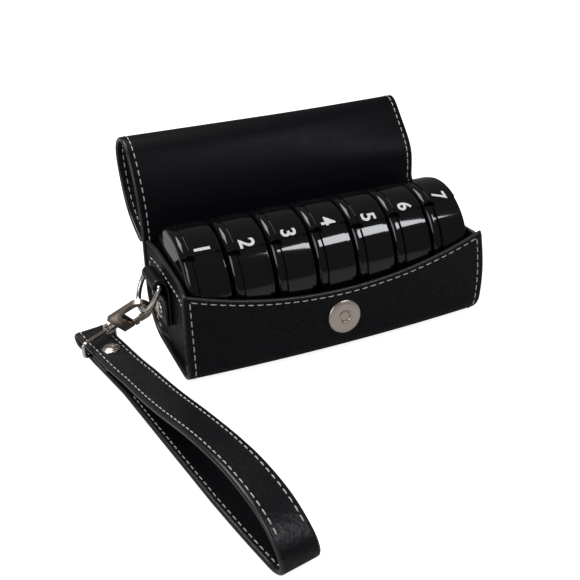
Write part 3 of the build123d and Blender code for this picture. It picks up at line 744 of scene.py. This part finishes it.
# %% Flap lengths
for k in range(len(hinges)):
    at = np.linspace(cuts[k], cuts[k + 1], FLAP_ROWS)
    middle = flap_surface(at, wrap_x)
    length = leather_sheet("flap_leather_%d" % (k + 1), middle, LEATHER,
                           [smooth_leather, grain_leather, edge_paint],
                           free="end" if k == len(hinges) - 1 else "sides")
    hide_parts("flap_panel_%d" % (k + 1))
    bent = [length]
    for side, side_name in ((-1, "left"), (1, "right")):
        for face, face_name in ((1, "inner"), (-1, "outer")):
            name = "flap_thread_%d_%s_%s" % (k + 1, side_name, face_name)
            line = flap_surface(at, side * (case_half - SEAM_INSET) + SEAM_STRIP)
            bent.append(seam(name, line, 1, face * LEATHER / 2, None, FLAP_PITCH, FLAP_STITCH))
    start, end = smooth_curve(flap_line, flap_knots[k + 1] + np.array([-FLAP_BLEND, FLAP_BLEND])) * MM
    for piece in bent:
        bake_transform(piece)
tip_row = np.swapaxes(flap_surface(flap_knots[-1] - SEAM_INSET + SEAM_STRIP, rim_x), 0, 1)
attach(seam("flap_thread_tip", tip_row, 1, -LEATHER / 2, None), "flap_7")
print("flap:", len(hinges), "lengths")

# %% [markdown]
# ## The boxes
#
# The boxes are moulded, and their CAD shape has the band, the shoulders and the thumb notch already, so
# it is kept. Each lid gets a plain number, printed on its band just above the split. Flat text laid on a
# round lid would float, so its mesh is cut fine and rolled round the lid's own axis.

# %% Boxes and numbers
BOX_TURNS = (0.0, -3.0, -1.0, 3.0, -1.5, 2.0, 6.0)
BOX_RADIUS = 31.0
BAND_MIDDLE = 11.15
SPLIT_ANGLE = 52.7
NUMBER_HEIGHT = 8.0
NUMBER_RISE = 3.2
NUMBER_WEIGHT = 0.22
NUMBER_CUTS = 4
INK = 0.06


def number_glyph(number):
    """A number's flat outline as fine triangles, centred and scaled to its height: points and faces."""
    text = bpy.data.curves.new("number_text", "FONT")
    text.body = number
    text.size = 10.0
    text.offset = NUMBER_WEIGHT
    holder = bpy.data.objects.new("number_text", text)
    glyph = bpy.data.meshes.new_from_object(holder)
    bpy.data.objects.remove(holder)
    fine = bmesh.new()
    fine.from_mesh(glyph)
    bmesh.ops.triangulate(fine, faces=fine.faces)
    bmesh.ops.subdivide_edges(fine, edges=fine.edges, cuts=NUMBER_CUTS, use_grid_fill=True)
    fine.to_mesh(glyph)
    fine.free()
    flat = np.zeros(3 * len(glyph.vertices))
    glyph.vertices.foreach_get("co", flat)
    flat = flat.reshape(-1, 3)
    low, high = flat.min(axis=0), flat.max(axis=0)
    flat = (flat - (low + high) / 2) * NUMBER_HEIGHT / (high[1] - low[1])
    return flat, [list(face.vertices) for face in glyph.polygons]


for k, turn in enumerate(BOX_TURNS):
    number = str(k + 1)
    for part in ("_body", "_lid"):
        paint_node("box_" + number + part, box_plastic)
    paint_node("box_" + number + "_lid_pin", steel)
    flat, faces = number_glyph(number)
    box_low = node_box("box_" + number + "_body")[0]
    angle = np.radians(SPLIT_ANGLE + turn) + (NUMBER_RISE - flat[:, 0]) / BOX_RADIUS
    x = box_low[0] + BAND_MIDDLE + flat[:, 1]
    y = -(BOX_RADIUS + INK) * np.cos(angle)
    z = box_low[2] + BOX_RADIUS + (BOX_RADIUS + INK) * np.sin(angle)
    ink = add_piece("lid_number_" + number, np.stack([x, y, z], axis=-1), faces, [white_ink])
    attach(ink, "lid_" + number)
print("boxes painted and numbered")

# %% [markdown]
# ## Strap, tab and metal
#
# The wrist strap is one strip laid double: it folds round the wire ring, lies on itself where it is
# riveted, and opens into a loop that twists a little. A curve with a flat bevel could follow that route,
# but a grid lets edges, seams and twist share one surface. The route's points were chosen one by one.

# %% Wrist strap
STRAP_WIDTH = 17.5
STRAP_PLY = 2.4
STRAP_TURN = np.radians(10.0)
RIVET_U = -169.8
TWIST = np.radians(7.0)
STRAP_PITCH = 4.0
STRAP_STITCH = 3.0
STRAP_SEAM = 2.6
RIVET_SHIFT = 1.8
SWAY_U = (-180, -140, -50)
SWAY = (1.4, 2.6, 0.0)
OPEN_START, OPEN_RUN = -125, 80
LAID_TOP, OPEN_RISE = 6, 14
INNER_PLY = 2.5
INNER_PLY_ENDS = (-174, -159)
INNER_PLY_MIDDLE = 3.7
OUTER_SEAM_ROWS = slice(21, 146)
INNER_SEAM_ROWS = slice(90, 240)
strap_route = [(-165, 1.2), (-176, 1.2), (-189, 1.25), (-196.0, 2.3), (-196.8, 3.7), (-196.0, 5.1),
               (-189, 6.15), (-175, 6.2), (-162, 6.25), (-148, 6.9), (-132, 8.8), (-110, 12.2),
               (-85, 17.6), (-62, 22.2), (-45, 24.2), (-28, 23.4), (-13, 19.7), (-4.8, 14.8),
               (-0.5, 9.9), (0.1, 5.8), (-3, 3.0), (-11, 1.7), (-23, 1.25), (-45, 1.2),
               (-90, 1.2), (-130, 1.2), (-165, 1.2)]

rivet_low, rivet_high = node_box("strap_rivet")
strap_along = np.array([np.sin(STRAP_TURN), -np.cos(STRAP_TURN), 0.0])
strap_across = np.array([np.cos(STRAP_TURN), np.sin(STRAP_TURN), 0.0])
rivet_spot = (rivet_low + rivet_high) / 2 * [1, 1, 0] - RIVET_SHIFT * strap_along
rivet_sway = np.interp(RIVET_U, SWAY_U, SWAY)
rivet_spot = rivet_spot + rivet_sway * strap_across


def strap_surface(x):
    """Middle points of the strap: the route's spline gives the place and heading, a sway shifts it
    sideways, and the cross line leans by a twist that swells and fades along the open upper layer."""
    route = smooth_curve(strap_route, count=260)
    u, z = route[:, 0], route[:, 1]
    heading = unit(np.gradient(route, axis=0))
    centre = rivet_spot + (u - RIVET_U)[:, None] * strap_along + z[:, None] * np.array([0, 0, 1.0])
    centre = centre + (np.interp(u, SWAY_U, SWAY) - rivet_sway)[:, None] * strap_across
    above = heading[:, :1] * np.array([0, 0, 1.0]) - heading[:, 1:] * strap_along
    open_part = np.clip((u - OPEN_START) / OPEN_RUN, 0, 1) * np.clip((z - LAID_TOP) / OPEN_RISE, 0, 1)
    roll = TWIST * open_part ** 2 * (3 - 2 * open_part)
    cross = np.cos(roll)[:, None] * strap_across - np.sin(roll)[:, None] * above
    return centre[:, None] + np.asarray(x)[None, :, None] * cross[:, None]


strap_half = STRAP_WIDTH / 2
strap_x = np.linspace(STRAP_PLY / 2 - strap_half, strap_half - STRAP_PLY / 2, 15)
strap_middle = strap_surface(strap_x)
strap = leather_sheet("wrist_strap_leather", strap_middle, STRAP_PLY,
                      [strap_leather, strap_leather, edge_paint], free="sides")
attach(strap, "strap")
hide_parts("wrist_strap")

inner_u = np.linspace(*INNER_PLY_ENDS, 12)
ply_middle = (rivet_spot + (inner_u - RIVET_U)[:, None, None] * strap_along
              + [0, 0, INNER_PLY_MIDDLE] + strap_x[None, :, None] * strap_across)
inner_ply = leather_sheet("wrist_strap_inner_ply", ply_middle, INNER_PLY,
                          [strap_leather, strap_leather, edge_paint])
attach(inner_ply, "strap")

for side, side_name in ((-1, "left"), (1, "right")):
    lines = strap_surface(side * (strap_half - STRAP_SEAM) + SEAM_STRIP)
    for face, rows, face_name in ((-1, OUTER_SEAM_ROWS, "outer"), (1, INNER_SEAM_ROWS, "inner")):
        name = "strap_thread_%s_%s" % (side_name, face_name)
        row = seam(name, lines[rows], 1, face * STRAP_PLY / 2, "strap", STRAP_PITCH, STRAP_STITCH)
print("strap:", np.round(travelled(strap_middle[:, 7])[-1]), "mm once round")

# %% [markdown]
# A short tab holds the ring on the left end. Its leather runs up the end, round the straight side of the
# ring and down again behind itself, so it is made as the strap is: a listed route, smoothed.

# %% Tab on the left end
TAB_PLY = 1.7
tab_low, tab_high = node_box("ring_tab")
tab_route = [(-82.3, 17.9), (-82.3, 25), (-82.4, 31.5), (-84.0, 35.6), (-87.0, 38.6), (-87.9, 41.2),
             (-86.7, 43.1), (-84.6, 43.2), (-82.0, 41.4), (-80.6, 37.6), (-80.5, 30), (-80.5, 17.9)]
tab_line = smooth_curve(tab_route, count=90)
tab_y = np.linspace(tab_low[1] + TAB_PLY / 2, tab_high[1] - TAB_PLY / 2, 21)
tab_x, tab_z = tab_line.T[:, :, None]
tab_middle = np.stack(np.broadcast_arrays(tab_x, tab_y, tab_z), axis=-1)
tab = leather_sheet("ring_tab_leather", tab_middle, TAB_PLY, [tab_leather, tab_leather, edge_paint])
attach(tab, "case")
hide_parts("ring_tab")
print("tab:", np.round(travelled(tab_line)[-1] + TAB_PLY, 1), "mm from end to end")

# %% [markdown]
# A rivet has a shallow dome, a rolled rim and a shank that goes into the leather. Its CAD solid is plain,
# and the finer profile catches the light as pressed metal does.

# %% Rivets
RIVET_CAP = 1.8
RIVET_RADIUS = 4.6
TAB_RIVET_RADIUS = 4.5
swell = np.linspace(0.04, 1, 14)[:, None]
cap = swell * [3.4, 0] + np.sqrt(1.0 - 0.85 * swell ** 2) * [0, 1.0] + [0, 0.8]
brim = rounded_profile([(3.6, 1.0), (4.2, 0.9), (RIVET_RADIUS, 0.5), (RIVET_RADIUS, 0.0),
                        (1.5, 0.0), (1.5, -3.0)], 0.3)
dome = np.concatenate([cap, brim])[::-1]
strap_rivet_spot = (*rivet_spot[:2], rivet_high[2] - RIVET_CAP)
strap_dome = turned("strap_rivet_dome", dome, strap_rivet_spot, (0, 0, 1), polished)
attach(strap_dome, "strap")
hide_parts("strap_rivet")
tab_rivet_low, tab_rivet_high = node_box("tab_rivet")
tab_rivet_spot = (tab_rivet_low + tab_rivet_high) / 2
tab_rivet_spot[0] = tab_rivet_low[0] + RIVET_CAP
tab_profile = dome * [TAB_RIVET_RADIUS / RIVET_RADIUS, 1]
tab_dome = turned("tab_rivet_dome", tab_profile, tab_rivet_spot, (-1, 0, 0), polished)
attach(tab_dome, "case")
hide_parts("tab_rivet")
print("rivets ready")

# %% [markdown]
# The snap's plate lies on the full front wall and leans with it. It has a step near its edge and a small
# ring in its middle, round the hole that takes the stud. Magnet and washer sit behind it.

# %% Snap
SNAP_HEIGHT = 19.4
STUD_REACH = 15.1
WASHER_LENGTH, WASHER_WIDTH, WASHER = 18.0, 5.0, 0.5
snap_share = 1 - SNAP_HEIGHT / FULL_TOP
snap_slope = WALL_BULGE / (FRONT_RIM - FRONT_CORNER) + 2 * CORNER_FULL * snap_share / FULL_TOP
snap_lean = np.arctan(snap_slope)
snap_axis = np.array([0, -np.cos(snap_lean), np.sin(snap_lean)])
snap_out = BOW + CORNER_FULL * snap_share ** 2
snap_centre = np.array([0, lean(SNAP_HEIGHT, FRONT_CORNER, FRONT_RIM) - wall_half - snap_out, SNAP_HEIGHT])
plate = rounded_profile([(0.15, 0.25), (2.1, 0.25), (2.5, 0.4), (2.6, 0.9), (2.9, 1.3), (3.3, 1.3),
                         (3.7, 1.05), (6.9, 1.05), (7.4, 0.95), (8.4, 0.85), (9.0, 0.3), (9.0, 0.0),
                         (8.6, -0.6)], 0.2)
snap = turned("snap_socket_plate", plate[::-1], snap_centre, snap_axis, satin)
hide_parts("snap_socket")
ring = rounded_profile([(2.8, -0.1), (2.8, -1.0), (6.6, -1.0), (6.6, -0.1)], 0.1)
magnet = turned("snap_magnet_ring", ring, snap_centre, snap_axis, magnet_coat)
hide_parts("snap_magnet")

tip_along = np.array([0, np.cos(FLAP_TIP_HEADING), np.sin(FLAP_TIP_HEADING)])
tip_inner = np.array([0, -np.sin(FLAP_TIP_HEADING), np.cos(FLAP_TIP_HEADING)])
stud_centre = np.array([0, *hinges[-1]]) + STUD_REACH * tip_along + (LEATHER / 2 - BOW) * tip_inner
button = rounded_profile([(0.15, 2.0), (1.5, 2.0), (1.8, 1.7), (1.8, 1.2), (6.2, 1.2), (7.0, 0.6),
                          (7.0, -0.3)], 0.2)
stud = turned("snap_stud_button", button[::-1], stud_centre, tip_inner, satin)
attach(stud, "flap_7")
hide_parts("snap_stud")

washer_x = np.linspace(-0.5, 0.5, 19) * WASHER_LENGTH
washer_y = np.linspace(-0.5, 0.5, 6) * WASHER_WIDTH
snap_across = np.array([1.0, 0, 0])
washer_middle = (snap_centre - (LEATHER + WASHER / 2) * snap_axis + washer_x[None, :, None] * snap_across
                 + washer_y[:, None, None] * np.cross(snap_axis, snap_across))
washer = leather_sheet("snap_washer_plate", washer_middle, WASHER, [steel, steel, steel])
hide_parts("snap_socket_washer")
for piece in (snap, magnet, washer):
    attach(piece, "case")
print("snap ready")

# %% [markdown]
# ## What CAD already shapes
#
# Rings, hook, pins and board are rigid and keep their CAD meshes. They only need better materials.

# %% Metal and board
for name in ("d_ring", "strap_ring", "hook_eye"):
    paint_node(name, polished)
for name in ("hook_body", "hook_gate"):
    paint_node(name, satin)
for name in ("gate_pin", "gate_spring", "snap_stud_washer"):
    paint_node(name, steel)
paint_node("base_board", lining)
print("metal and board painted")
